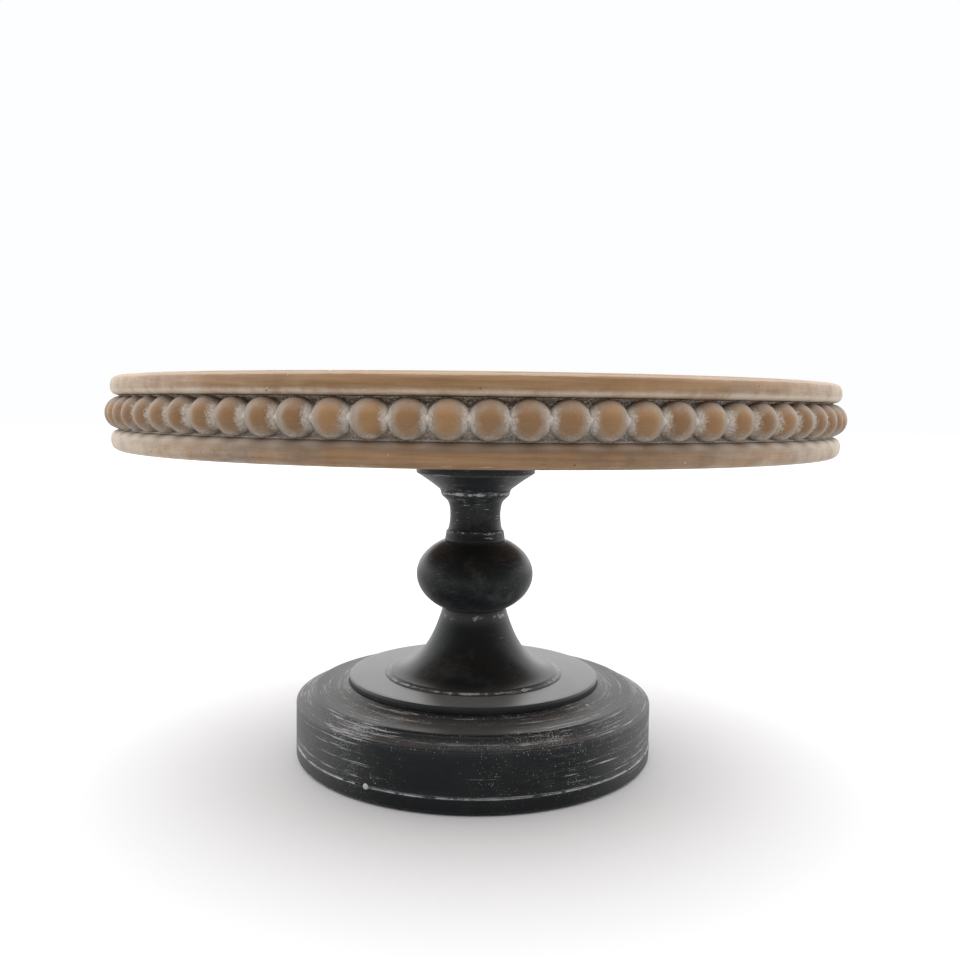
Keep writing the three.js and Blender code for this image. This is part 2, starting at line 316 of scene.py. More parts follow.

# %% [markdown]
# ## Turning
# A lathe carries the outline round the axis. Wood moves as it dries, so a turned piece is never
# perfectly round: a slow wave of a tenth of a millimetre in the radius is enough for reflections
# to look real. The wear value is 1 on the edges that hands and cloths rub, and fades within a few
# millimetres; on the plate's rims it marks painted light instead. It is measured on the outline,
# so it follows every moulding.

# %% Turning
def turned(name, outline, sides=288, level=0.0, centre=(0, 0), wave=0.12, rubbed=()):
    """The point at row i, column j is outline i turned to angle j. The radius is scaled by a wave
    of two and three humps a turn. rubbed holds [radius, height, reach, strength] of worn edges,
    and the wear is strength times e to the minus (distance / reach) squared. The up value is how
    far a face looks upwards: minus the run in radius over the length of the outline's step. The
    flank value is the size of the angle's cosine: 0 at the front and back, 1 at the sides."""
    solid = outline[0, 0] < 1e-6
    ring = outline[1:-1] if solid else outline
    turn = np.arange(sides) * 2 * np.pi / sides
    phase = 0.7 * level
    humps = np.sin(2 * turn + phase) + 0.6 * np.sin(3 * turn + 2.3 * phase)
    radius = ring[:, :1] * (1 + wave / outline[:, 0].max() * (humps / 1.6 - 1))
    height = np.repeat(ring[:, 1:] + level, sides, axis=1)
    points = np.stack(
        [centre[0] + radius * np.cos(turn), centre[1] + radius * np.sin(turn), height], axis=-1
    ).reshape(-1, 3)
    wear = np.zeros(len(ring))
    for r, z, reach, strength in rubbed:
        gap = np.hypot(ring[:, 0] - r, ring[:, 1] - z)
        wear = np.maximum(wear, strength * np.exp(-((gap / reach) ** 2)))
    run = np.gradient(ring, axis=0)
    up = np.repeat(np.clip(-run[:, 0] / np.hypot(*run.T), 0, 1), sides)
    wear = np.repeat(wear, sides)
    flank = np.tile(np.abs(np.cos(turn)), len(ring))
    quads = cells(len(ring), sides, not solid)
    if not solid:
        mesh = make_mesh(name, points, quads)
    else:
        poles = [[*centre, outline[0, 1] + level], [*centre, outline[-1, 1] + level]]
        closed = fans(sides, 0, (len(ring) - 1) * sides, len(points))
        mesh = make_mesh(name, np.concatenate([points, poles]), quads, closed)
        wear, up = np.concatenate([wear, [0, 0]]), np.concatenate([up, [0, 1]])
        flank = np.concatenate([flank, [0, 0]])
    store(mesh, worn=wear, up=up, flank=flank)
    return mesh


def level_of(node):
    """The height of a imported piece's underside, in millimetres."""
    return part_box(node)[0].z / mm


def size_of(node):
    """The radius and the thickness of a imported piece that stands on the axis, in millimetres."""
    low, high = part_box(node)
    return high.x / mm, (high.z - low.z) / mm

# %% [markdown]
# ## Effects that materials share
# Some effects are on several finishes, so each is a node group with named inputs, built once.
# Turning lines are marks that run round the axis: a four-dimensional noise is read on the unit
# circle, so that it closes on itself, and squeezed in height and radius, so that it is thin.

# %% Turning lines
def start_group(name, inputs, outputs):
    """A node group with number inputs, given with their usual values, and number outputs."""
    group = bpy.data.node_groups.new(name, "ShaderNodeTree")
    for label, value in inputs.items():
        group.interface.new_socket(
            label, in_out="INPUT", socket_type="NodeSocketFloat"
        ).default_value = value
    for label in outputs:
        group.interface.new_socket(label, in_out="OUTPUT", socket_type="NodeSocketFloat")
    given = group.nodes.new("NodeGroupInput").outputs
    return group, given, group.nodes.new("NodeGroupOutput").inputs


def use(tree, group, **inputs):
    """Places a group in a material. An underscore stands for a space in an input's name."""
    inputs = {name.replace("_", " "): value for name, value in inputs.items()}
    return put(tree, "Group", inputs, node_tree=group).outputs


def object_place(tree):
    return put(tree, "TexCoord").outputs["Object"]


def noise(tree, vector, scale, detail=2.0, roughness=0.5, output="Fac", **settings):
    inputs = {"Vector": vector, "Scale": scale, "Detail": detail, "Roughness": roughness}
    return put(tree, "TexNoise", inputs, **settings).outputs[output]


lines_group, given, result = start_group(
    "turning_lines", {"Per Turn": 2.5, "Fineness": 1500.0, "Detail": 3.0}, ["Value"]
)
x, y, z = split(lines_group, object_place(lines_group))
level_place = join(lines_group, x, y)
circle = put(lines_group, "VectorMath", {0: level_place}, operation="NORMALIZE").outputs[0]
circle_x, circle_y, _ = split(lines_group, resize(lines_group, circle, given["Per Turn"]))
thin_height = times(lines_group, z, given["Fineness"])
thin_reach = times(lines_group, reach_of(lines_group, level_place), given["Fineness"])
marks = put(
    lines_group, "TexNoise",
    {"Vector": join(lines_group, circle_x, circle_y, thin_height), "W": thin_reach,
     "Scale": 1.0, "Detail": given["Detail"], "Roughness": 0.6},
    noise_dimensions="4D",
).outputs[0]
lines_group.links.new(marks, result["Value"])
print("group", lines_group.name)

# %% [markdown]
# Specks are small round spots, such as paint knocked off a point or a splash of whitewash. A
# Voronoi texture scatters centres, a spot is drawn round each one, and a random value for each
# centre keeps only a share of them.

# %% Specks
specks_group, given, result = start_group(
    "specks", {"Scale": 300.0, "Size": 0.2, "Share": 0.3}, ["Mask"]
)
where = object_place(specks_group)
ragged = resize(specks_group, noise(specks_group, where, 1500.0, output="Color"), 0.0004)
shaken = put(specks_group, "VectorMath", {0: where, 1: ragged}, operation="ADD").outputs[0]
spots = put(specks_group, "TexVoronoi", {"Vector": shaken, "Scale": given["Scale"]})
chance = put(specks_group, "SeparateColor", {0: spots.outputs["Color"]}).outputs
size = times(specks_group, chance[1], given["Size"])
inside = calc(specks_group, "LESS_THAN", spots.outputs["Distance"], size)
kept = calc(specks_group, "LESS_THAN", chance[0], given["Share"])
specks_group.links.new(times(specks_group, inside, kept), result["Mask"])
print("group", specks_group.name)

# %% [markdown]
# Rubbed edges start from the wear value on the points. Cloudy noise decides where along an edge
# the coat has gone, so the wear breaks up instead of following the edge like a painted line.

# %% Rubbed edges
rubbed_group, given, result = start_group(
    "rubbed_edges", {"Wear": 0.0, "Patch Scale": 90.0, "Amount": 0.5}, ["Mask"]
)
patches = noise(rubbed_group, object_place(rubbed_group), given["Patch Scale"], 6.0, 0.65)
rub = plus(rubbed_group, given["Wear"], times(rubbed_group, patches, 1.6))
limit = minus(rubbed_group, 2.2, given["Amount"])
over = minus(rubbed_group, rub, limit)
rubbed_group.links.new(ramp(rubbed_group, over, 0.0, 0.18), result["Mask"])
print("group", rubbed_group.name)

# %% [markdown]
# Wood grain is long in one direction. The boards are cut along X, so a noise is squeezed across
# X, bent a little by a slower one, and a finer copy gives the open pores.

# %% Wood grain
grain_group, given, result = start_group(
    "wood_grain", {"Scale": 260.0, "Stretch": 14.0}, ["Grain", "Pores"]
)
where = object_place(grain_group)
bend = resize(grain_group, noise(grain_group, where, 9.0, output="Color"), 0.02)
bent = put(grain_group, "VectorMath", {0: where, 1: bend}, operation="ADD").outputs[0]
squeeze = join(grain_group, calc(grain_group, "DIVIDE", 1.0, given["Stretch"]), 1.0, 1.0)
along = put(grain_group, "VectorMath", {0: bent, 1: squeeze}, operation="MULTIPLY").outputs[0]
grain = noise(grain_group, along, given["Scale"], 5.0, 0.6)
fine = times(grain_group, given["Scale"], 5.0)
pores = noise(grain_group, along, fine)
grain_group.links.new(grain, result["Grain"])
grain_group.links.new(ramp(grain_group, pores, 0.56, 0.66), result["Pores"])
print("group", grain_group.name)

# %% [markdown]
# ## Rubbed black paint
# The pedestal and base were sprayed satin black over turned wood, and whitewash was dragged over
# the mouldings and wiped off again. What stays is a black with a soft gloss, thin white dashes
# that follow the turning, specks, and a faint cloudy haze. Dust greys the faces that look up, and
# a trace of sheen softens the outline. The pieces share one recipe, and each has its own amounts,
# because the base has been handled more than the bell. Most of the base's marks are at its sides,
# and its sides are painted a lighter grey, which stands in for the light of the bright side walls.
# The base's black is darker than the pedestal's: painted shade, for its nearness to the floor.

# %% Black paint
def start_material(name):
    material = bpy.data.materials.new(name)
    material.use_nodes = True
    tree = material.node_tree
    return material, tree, tree.nodes["Principled BSDF"]


def object_noise(tree, scale, detail=4.0, roughness=0.6):
    return noise(tree, object_place(tree), scale, detail, roughness)


def values_of(tree, *names):
    """The values that a mesh carries on its points, by their names."""
    return [put(tree, "Attribute", attribute_name=name).outputs["Fac"] for name in names]


def surface(tree, shader, colour, rough, height, strength, depth, constants=()):
    """Feeds a shader its colour, its roughness, and a bump made from a height, which has a
    strength and a depth in metres. Constants are set on the shader's own sockets."""
    bump = put(tree, "Bump", {"Height": height, "Strength": strength, "Distance": depth})
    feed(tree, shader, {"Base Color": colour, "Roughness": rough, "Normal": bump.outputs[0]})
    feed(tree, shader, constants)


# The base's coat is darker than the pedestal's: painted shade, for the base's nearness to the
# floor.
shaded_base_coat = (0.0066, 0.0080, 0.0096, 1)
pedestal_coat = (0.0132, 0.0152, 0.0174, 1)
dust_and_side_light_grey = (0.115, 0.118, 0.118, 1)
chalk = (0.56, 0.57, 0.58, 1)


def black_paint(name, dashes, grains, scuffs, rubbing=0.8, dust=0.5, side_marks_and_side_light=0.0, film=0.3,
                ior=1.36, under=pedestal_coat):
    """dashes, grains, scuffs, rubbing and dust say how much of each there is, and film how grey
    worn edges are. sided says how many of the marks are missing from the front and back, and how
    light a grey the sides are painted, which is painted light for the bright side walls. ior sets
    the strength of the gloss, and under is the coat's own colour; the base's is darker, painted
    shade."""
    material, tree, shader = start_material(name)
    wear, up, flank = values_of(tree, "worn", "up", "flank")
    missing = ramp(tree, flank, 0.15, 0.60, side_marks_and_side_light, 0.0)
    missing = times(tree, missing, line(tree, wear, -1.3, 1.0))
    missing = times(tree, missing, minus(tree, 1.0, up))
    long_lines = use(tree, lines_group, Per_Turn=1.7, Fineness=1150.0, Detail=2.0)[0]
    short_lines = use(tree, lines_group, Per_Turn=9.0, Fineness=2600.0, Detail=4.0)[0]
    where = object_noise(tree, 30.0, 3.0)
    level = plus(tree, long_lines, times(tree, where, 0.45))
    level = plus(tree, level, times(tree, wear, 0.10))
    level = line(tree, missing, -0.14, level)
    limit = 1.02 - 0.22 * dashes
    dash = ramp(tree, level, limit, limit + 0.10)
    dash = times(tree, dash, ramp(tree, short_lines, 0.42, 0.62))
    dots = object_noise(tree, 1900.0, 2.0, 0.5)
    grain = plus(tree, dots, times(tree, where, 0.35))
    grain = plus(tree, grain, times(tree, wear, 0.10))
    grain = line(tree, missing, -0.05, grain)
    limit = 1.02 - 0.16 * grains
    grain = ramp(tree, grain, limit, limit + 0.05, 0.0, 0.75)
    edge = use(tree, rubbed_group, Wear=wear, Patch_Scale=220.0, Amount=rubbing)[0]
    edge = times(tree, edge, ramp(tree, short_lines, 0.36, 0.55, 0.25, 0.9))
    white = most(tree, most(tree, dash, grain), edge)
    veil = times(tree, ramp(tree, short_lines, 0.45, 0.80), ramp(tree, where, 0.38, 0.62))
    haze_and_side_light = ramp(tree, object_noise(tree, 46.0, 7.0, 0.7), 0.50, 0.80)
    haze_and_side_light = times(tree, most(tree, haze_and_side_light, veil), scuffs)
    haze_and_side_light = times(tree, haze_and_side_light, minus(tree, 1.0, missing))
    # The sides are painted a lighter grey: painted light, standing in for the bright side walls.
    haze_and_side_light = most(tree, haze_and_side_light, ramp(tree, flank, 0.4, 1.0, 0.0, side_marks_and_side_light))
    settled = times(tree, ramp(tree, up, 0.86, 1.0), dust)
    grey = most(tree, haze_and_side_light, most(tree, settled, times(tree, wear, film)))
    coat = blend(tree, grey, under, dust_and_side_light_grey)
    rough = line(tree, haze_and_side_light, 0.25, 0.32)
    rough = plus(tree, rough, times(tree, white, 0.35))
    skin = object_noise(tree, 700.0, 2.0)
    relief = plus(tree, times(tree, skin, 0.12), times(tree, short_lines, 0.3))
    relief = plus(tree, relief, times(tree, white, 0.1))
    surface(tree, shader, blend(tree, white, coat, chalk), rough, relief, 0.35, 0.00012, {
        "IOR": ior, "Specular IOR Level": 0.3, "Sheen Weight": 0.10, "Sheen Roughness": 0.35})
    return material


base_black = black_paint("black_paint_base", dashes=1.0, grains=1.1, scuffs=0.9, dust=0.5,
                         rubbing=0.74, side_marks_and_side_light=0.85, film=0.75, ior=1.46, under=shaded_base_coat)
foot_black = black_paint("black_paint_foot", dashes=0.5, grains=0.9, scuffs=0.2, dust=0.2,
                         rubbing=0.80, side_marks_and_side_light=0.5, ior=1.46, under=shaded_base_coat)
disc_black = black_paint("black_paint_disc", dashes=0.2, grains=0.3, scuffs=0.3, dust=1.0,
                         rubbing=0.42, film=0.8, ior=1.46, under=shaded_base_coat)
bell_black = black_paint("black_paint_bell", dashes=0.4, grains=0.5, scuffs=0.5, dust=0.0,
                         rubbing=0.78, film=0.9)
ball_black = black_paint("black_paint_ball", dashes=0.25, grains=0.1, scuffs=1.2, dust=0.1,
                         rubbing=0.6)
capital_black = black_paint("black_paint_capital", dashes=0.68, grains=0.4, scuffs=0.7, dust=0.2,
                            rubbing=0.6)
print("black paints made")

# %% [markdown]
# ## The base
# The base is a thin foot board, a thick plinth with a small step and a hollow on top, and a disc
# that the pedestal stands on. The hollow rises a millimetre round the disc, which looks let in.
# Foot board and plinth meet in a shallow V groove, where the paint has rubbed through to white. A
# recess under both boards takes the washer and nut. The corner setbacks are small on the wall,
# where the profile is crisp, and larger on the disc's rim.

# %% The base
base_radius, plinth_thick = size_of("base_plinth")
disc_radius, disc_thick = size_of("base_top_disc")
foot_thick = size_of("base_bottom_board")[1]
recess_radius, recess_depth = 16.0, 5.1
rod_bore = 4.25

foot_board = filled(eased([
    [recess_radius, 0, 0.4], [base_radius - 0.1, 0, 0.9], [base_radius, foot_thick - 0.55, 0.35],
    [base_radius - 0.75, foot_thick, 0.1], [recess_radius, foot_thick, 0.3],
]))
foot_edges = [[base_radius - 0.4, foot_thick - 0.1, 0.5, 1.0], [base_radius, 0.2, 0.5, 0.3]]
mesh = turned("foot_board", foot_board, level=level_of("base_bottom_board"), rubbed=foot_edges)
place(mesh, foot_black, ["base_bottom_board"])

plinth = filled(eased(
    [[recess_radius, 0, 0.3], [base_radius - 0.75, 0, 0.1], [base_radius, 0.6, 0.4],
     [base_radius, 17.7, 1.1], [base_radius - 6.3, 19.2, 0.5], [base_radius - 7.0, 21.6, 1.3]]
    + sweep([base_radius - 8.6, 21.8], [base_radius - 13.0, 21.8], [disc_radius + 4.2, 21.9],
            [disc_radius + 0.5, 24.3], 20)
    + [[disc_radius + 0.25, 24.4, 0.1], [disc_radius + 0.2, plinth_thick, 0.1],
       [rod_bore, plinth_thick, 0.2], [rod_bore, recess_depth, 0.2],
       [recess_radius, recess_depth, 0.3]]
))
plinth_edges = [
    [base_radius - 0.4, 0.2, 0.6, 1.0], [base_radius - 0.6, 17.3, 1.2, 0.2],
    [base_radius - 4.4, 18.7, 2.6, 0.62], [disc_radius + 1.6, 23.4, 0.7, 0.55],
    [disc_radius + 5.0, 22.2, 0.9, 0.6],
]
mesh = turned("plinth", plinth, level=level_of("base_plinth"), rubbed=plinth_edges)
place(mesh, base_black, ["base_plinth"])

disc = filled(eased([
    [rod_bore, 0, 0.2], [disc_radius, 0, 0.25], [disc_radius, disc_thick, 1.1],
    [rod_bore, disc_thick, 0.2],
]))
bell_radius, bell_height = size_of("bell_foot")
disc_edges = [[disc_radius - 0.3, disc_thick - 0.3, 0.8, 0.3],
              [bell_radius + 2.2, disc_thick, 1.8, 0.9]]
mesh = turned("top_disc", disc, level=level_of("base_top_disc"), rubbed=disc_edges)
place(mesh, disc_black, ["base_top_disc"])

# %% [markdown]
# ## The pedestal
# Three turnings stand on the base: a bell that flares into a thin foot, a ball cut flat at both
# ends, and a capital with a collar, a neck, a ridge and a cup. The bell and the neck are single
# Bezier curves, because that is how a gouge sweeps. Paint has run into the joint under the bell
# and left a thin fillet there. The ball's side follows a circle that has been stretched a little,
# so that it meets its two flats at the right radius.

# %% The bell
bell = filled(eased(
    [[rod_bore, 0, 0.2], [bell_radius + 1.9, 0, 0.1], [bell_radius + 1.8, 0.15, 0.1],
     [bell_radius + 0.1, 0.7, 0.6]]
    + sweep([bell_radius - 0.9, 1.3], [0.61 * bell_radius, 3.1], [17.0, 18.6],
            [14.2, bell_height - 0.4], 44)
    + [[13.9, bell_height, 0.2], [rod_bore, bell_height, 0.2]]
), 1.2)
bell_edges = [[bell_radius + 0.7, 0.5, 1.5, 0.72], [14.3, bell_height - 2.5, 3.0, 0.64]]
mesh = turned("bell", bell, level=level_of("bell_foot"), sides=240, rubbed=bell_edges)
place(mesh, bell_black, ["bell_foot"])

# %% The ball
ball_radius, ball_height = size_of("ball_knop")
end_radius = 14.4
stretch = ball_height / 2 / math.sqrt(1 - (end_radius / ball_radius) ** 2)
heights = np.linspace(0.35, ball_height - 0.35, 48)
side = ball_radius * np.sqrt(1 - ((heights - ball_height / 2) / stretch) ** 2)
ball = filled(eased(
    [[rod_bore, 0, 0.2], [end_radius - 0.3, 0, 0.15]]
    + [[r, h, 0] for r, h in zip(side, heights)]
    + [[end_radius - 0.3, ball_height, 0.15], [rod_bore, ball_height, 0.2]]
))
ball_edges = [[end_radius, 0.3, 0.7, 0.7], [end_radius, ball_height - 0.3, 0.7, 0.7]]
mesh = turned("ball", ball, level=level_of("ball_knop"), sides=240, rubbed=ball_edges)
place(mesh, ball_black, ["ball_knop"])

# %% The capital
cup_radius, capital_height = size_of("capital")
capital = filled(eased(
    [[rod_bore, 0, 0.2], [13.4, 0, 0.25], [12.7, 4.35, 0.5]]
    + sweep([12.1, 4.7], [11.0, 7.2], [10.5, 15.2], [12.6, 17.6], 26)
    + [[15.1, 19.9, 0.8], [15.5, 21.9, 0.8]]
    + sweep([16.0, 22.7], [18.0, 24.2], [20.4, 26.2], [cup_radius - 0.15, 29.7], 18)
    + [[cup_radius, 29.9, 0.3], [cup_radius, capital_height, 0.4], [rod_bore, capital_height, 0.2]]
), 1.2)
capital_edges = [
    [13.2, 0.3, 0.7, 0.6], [12.6, 4.3, 0.9, 0.8], [15.3, 21.0, 1.4, 1.0],
    [cup_radius, 29.6, 1.0, 0.7], [20.0, 25.0, 2.0, 0.35],
]
mesh = turned("capital_turning", capital, level=level_of("capital"), sides=240,
              rubbed=capital_edges)
place(mesh, capital_black, ["capital"])

# %% [markdown]
# ## Drops of white paint
# Two drops of the white paint fell on the base and dried as low domes, one on the groove and one
# on the hollow. Each is a flattened ball sunk to its middle in the wood. A circle of latitude and
# one of longitude give every point, for both drops in one array.

# %% Drops of paint
def drops_mesh(name, drops, rows=12, around=24):
    """drops holds [degrees from the front, radius, height, tilt, size]. A point is the centre plus
    size * (sin latitude * cos turn * beside + sin latitude * sin turn * upward - flatness * cos
    latitude * out), where the tilt, in degrees, turns the out direction up from level."""
    flatness = 0.45
    turned_by, radius, height, tilt, size = (np.array(v)[:, None, None] for v in zip(*drops))
    angle, tilt = np.radians(turned_by - 90), np.radians(tilt)
    latitude = np.linspace(0.12, np.pi - 0.12, rows)[None, :, None]
    turn = np.arange(around)[None, None, :] * 2 * np.pi / around
    out = np.stack([np.cos(angle) * np.cos(tilt), np.sin(angle) * np.cos(tilt), np.sin(tilt)], -1)
    beside = np.stack([-np.sin(angle), np.cos(angle), 0 * angle], -1)
    upward = np.cross(out, beside)
    centre = np.stack([radius * np.cos(angle), radius * np.sin(angle), height], -1)
    points = centre + size[..., None] * (
        (np.sin(latitude) * np.cos(turn))[..., None] * beside
        + (np.sin(latitude) * np.sin(turn))[..., None] * upward
        - (flatness * np.cos(latitude) + 0 * turn)[..., None] * out)
    depth = flatness * size[..., None] * out
    ends = np.concatenate([centre - depth, centre + depth], 1)
    each = rows * around
    starts = np.arange(len(drops)) * each
    quads = (cells(rows, around, False)[None] + starts[:, None, None]).reshape(-1, 4)
    closed = [fans(around, start, start + each - around, len(drops) * each + 2 * number)
              for number, start in enumerate(starts)]
    everything = np.concatenate([points.reshape(-1, 3), ends.reshape(-1, 3)])
    return make_mesh(name, everything, quads, np.concatenate(closed))


white_paint, tree, shader = start_material("dried_white_paint")
mottle = object_noise(tree, 900.0, 3.0)
colour = blend(tree, mottle, (0.42, 0.42, 0.41, 1), (0.66, 0.66, 0.64, 1))
surface(tree, shader, colour, ramp(tree, mottle, 0.3, 0.7, 0.45, 0.6), mottle, 0.3, 0.0001)
groove_level = level_of("base_plinth")
drops = [[-33, base_radius - 0.2, groove_level, 5, 1.25],
         [52, disc_radius + 3.4, groove_level + 22.6, 75, 1.1]]
place(drops_mesh("paint_drops", drops), white_paint)

# %% [markdown]
# ## Whitewashed boards
# The plate's boards are a mid-brown wood. Their flat faces show straight grain, and their rims
# show fine lines from sanding on the lathe. Thin white paint was brushed on and wiped back, so it
# stays in the pores, along the lower edge of the upper rim, and in a scalloped band on the lower
# rim, under the beads, a band that is partly painted light. The rims are also painted paler
# towards the left and right sides, which stands in for the light of the bright side walls. Boards
# this wide are glued up from staves, so the flat faces change a little in tone from stave to
# stave, and fine seams run along X. Three values on the points steer this: how much whitewash and
# painted light there is, how much darkening, partly stains and partly painted shade, and whether a
# point is on a flat face or on the rim.

# %% Whitewashed wood
brown = (0.235, 0.117, 0.042, 1)
light_brown = (0.345, 0.196, 0.084, 1)
grime_brown = (0.112, 0.070, 0.042, 1)
deep_brown = (0.13, 0.072, 0.038, 1)
wash_white = (0.66, 0.565, 0.455, 1)
stave_width = 0.049


def whitewashed_board(name, cover, stain):
    """cover is how much whitewash there is all over, and stain how dark the blotches are."""
    material, tree, shader = start_material(name)
    wear, wash, flat, grime = values_of(tree, "worn", "wash", "flat", "grime")
    grain = use(tree, grain_group, Scale=230.0, Stretch=16.0)
    broad = use(tree, lines_group, Per_Turn=4.0, Fineness=620.0, Detail=5.0)[0]
    fine = use(tree, lines_group, Per_Turn=22.0, Fineness=2300.0, Detail=4.0)[0]
    figure = put(tree, "Mix", {0: flat, 2: broad, 3: grain["Grain"]}).outputs[0]
    wood = blend(tree, ramp(tree, figure, 0.34, 0.68), brown, light_brown)
    wood = blend(tree, ramp(tree, fine, 0.50, 0.78, 0.0, 0.5), wood, deep_brown)
    blotch = ramp(tree, object_noise(tree, 48.0, 5.0), 0.46, 0.74, 0.0, stain)
    blotch = minus(tree, blotch, times(tree, flat, stain))
    wood = blend(tree, blotch, wood, deep_brown)
    pores = times(tree, grain["Pores"], times(tree, flat, 0.7))
    wood = blend(tree, pores, wood, deep_brown)
    across = split(tree, object_place(tree))[1]
    stave = calc(tree, "DIVIDE", across, stave_width)
    number = calc(tree, "FLOOR", stave)
    shade = put(tree, "TexWhiteNoise", {"W": number}, noise_dimensions="1D").outputs["Value"]
    wood = blend(tree, times(tree, ramp(tree, shade, 0.0, 1.0, 0.0, 0.45), flat), wood, brown)
    seam = calc(tree, "ABSOLUTE", minus(tree, calc(tree, "FRACT", stave), 0.5))
    seam = times(tree, ramp(tree, seam, 0.493, 0.498), flat)
    streaks = use(tree, grain_group, Scale=70.0, Stretch=12.0)["Grain"]
    cloud = object_noise(tree, 75.0, 6.0, 0.7)
    cloud = put(tree, "Mix", {0: flat, 2: cloud, 3: streaks}).outputs[0]
    # Darkening: partly stains, and partly painted shade under the beads.
    dirt_and_shade = times(tree, grime, ramp(tree, cloud, 0.30, 0.60, 0.5, 1.0))
    milk = times(tree, wash, ramp(tree, cloud, 0.30, 0.62, 0.60, 1.0))
    milk = line(tree, minus(tree, cloud, 0.5), 0.6, milk)
    milk = line(tree, minus(tree, fine, 0.5), 0.5, milk)
    milk = plus(tree, milk, cover)
    # On the boards the rubbed edges are painted paler: a painted highlight on the top edge, and
    # painted light from the floor on the bottom edge.
    edge = use(tree, rubbed_group, Wear=wear, Patch_Scale=60.0, Amount=0.9)[0]
    milk = most(tree, milk, times(tree, edge, 0.45))
    chip = use(tree, specks_group, Scale=620.0, Size=0.26, Share=0.09)[0]
    chip = times(tree, chip, line(tree, flat, -0.45, 0.65))
    milk = most(tree, milk, chip)
    milk = ramp(tree, milk, -0.08, 1.05, 0.0, 0.88)
    colour = blend(tree, milk, wood, wash_white)
    colour = blend(tree, times(tree, seam, 0.7), colour, deep_brown)
    colour = blend(tree, dirt_and_shade, colour, grime_brown)
    dots = use(tree, specks_group, Scale=360.0, Size=0.16, Share=0.07)[0]
    colour = blend(tree, times(tree, dots, 0.85), colour, deep_brown)
    relief = line(tree, fine, 0.6, times(tree, milk, 0.4))
    relief = line(tree, figure, 0.5, relief)
    relief = line(tree, pores, -0.6, relief)
    relief = line(tree, seam, -1.0, relief)
    rough = ramp(tree, milk, 0.0, 1.0, 0.50, 0.66)
    surface(tree, shader, colour, rough, relief, 0.4, 0.0003)
    return material


upper_wood = whitewashed_board("whitewash_upper", cover=-0.08, stain=0.35)
lower_wood = whitewashed_board("whitewash_lower", cover=0.0, stain=0.85)
core_wood = whitewashed_board("whitewash_core", cover=0.10, stain=0.4)
print("whitewashed woods made")

# %% [markdown]
# ## The plate
# The two outer boards have fully rounded rims. The core board between them is smaller, and its
# edge is the back of the channel that the beads lie in. The lower board has a hole for the tee
# nut and rod, the core a blind one, and the upper board is whole.

# %% The plate
plate_radius, top_thick = size_of("top_board")
bottom_thick = size_of("bottom_board")[1]
core_radius, core_thick = size_of("core_board")
tee_hole, tee_flange_hole = 5.3, 11.3
rim_steps = 14
board_sides = 624
bead_count = 78
flat_wash = 0.22


def hump(share, middle, width):
    """e to the minus ((share - middle) / width) squared."""
    return np.exp(-(((share - middle) / width) ** 2))


def no_grime(share, sides, angle):
    return 0 * share


def board_values(mesh, level, thick, wash, grime=no_grime):
    """Adds the flat-face value, the whitewash, which also carries painted light, and the
    darkening, which is partly stains and partly painted shade. The last two are functions of the
    share of the thickness, from 0 at the underside to 1 on top, how far round from the front or
    back towards the sides a point is, which is the cosine of its angle squared, and its angle."""
    points = np.empty(3 * len(mesh.vertices), np.float32)
    mesh.vertices.foreach_get("co", points)
    x, y, z = points.reshape(-1, 3).T / mm
    share = np.clip((z - level) / thick, 0, 1)
    radius = np.hypot(x, y)
    flat = np.clip((plate_radius - 2.2 - radius) / 1.5, 0, 1)
    angle = np.arctan2(y, x)
    sides = np.cos(angle) ** 2
    on_rim = wash(share, sides, angle)
    store(mesh, wash=on_rim + (flat_wash - on_rim) * flat, flat=flat,
          grime=grime(share, sides, angle) * (1 - flat))

# %% [markdown]
# Whitewash gathers where a cloth doesn't reach. On the upper rim that is a band just above the
# beads. The amounts are functions of the place on the rim, so that they can be changed by hand.

# %% The upper board
def upper_wash(share, sides, angle):
    """A band near the lower edge of the rim, a little towards the underside, and paler sides:
    painted light, for the bright side walls.
    """
    return 0.75 * hump(share, 0.14, 0.12) + 0.20 * (1 - share) + 0.60 * sides


top_level = level_of("top_board")
# The upper board's top edge carries a painted highlight, for the light from above.
top_edge_highlight = [[plate_radius - 0.9, top_thick - 0.7, 0.9, 1.0]]
top = filled(eased([
    [0, 0, 0], [plate_radius, 0, 0.45 * top_thick], [plate_radius, top_thick, 0.5 * top_thick],
    [0, top_thick, 0],
], rim_steps), 4)
mesh = turned("upper_board", top, board_sides, top_level, rubbed=top_edge_highlight)
board_values(mesh, top_level, top_thick, upper_wash)
place(mesh, upper_wood, ["top_board"])

# %% [markdown]
# On the lower rim, whitewash ran down between the beads. A cosine with one wave for each bead
# makes scallops: pale between two beads, partly whitewash and partly painted light, and a painted
# contact shadow under each bead at the sides.

# %% The lower board
def under_beads(angle):
    """1 under the middle of each bead and -1 between two beads."""
    return np.cos(bead_count * (angle + np.pi / 2))


def lower_wash(share, sides, angle):
    """A band near the upper edge, scalloped by the beads, paler sides and a paler lowest edge. The
    scallops are partly painted light, the sides are painted light from the bright side walls, and
    the lowest edge is painted light from the floor.
    """
    scallops = (0.35 + 0.4 * sides) * (1 - 0.7 * under_beads(angle))
    return hump(share, 0.90, 0.16) * scallops + 1.08 * sides + 0.25 * hump(share, 0, 0.12)


def lower_grime(share, sides, angle):
    """Darkening near the upper edge: a broad band at the front, partly stains and partly painted
    shade under the beads, and one spot a bead at the sides, a painted contact shadow under each
    bead.
    """
    spots = 0.55 * sides * hump(share, 0.94, 0.12) * (0.5 + 0.5 * under_beads(angle))
    return 0.85 * hump(share, 0.88, 0.30) * (1 - sides) + spots


bottom_level = level_of("bottom_board")
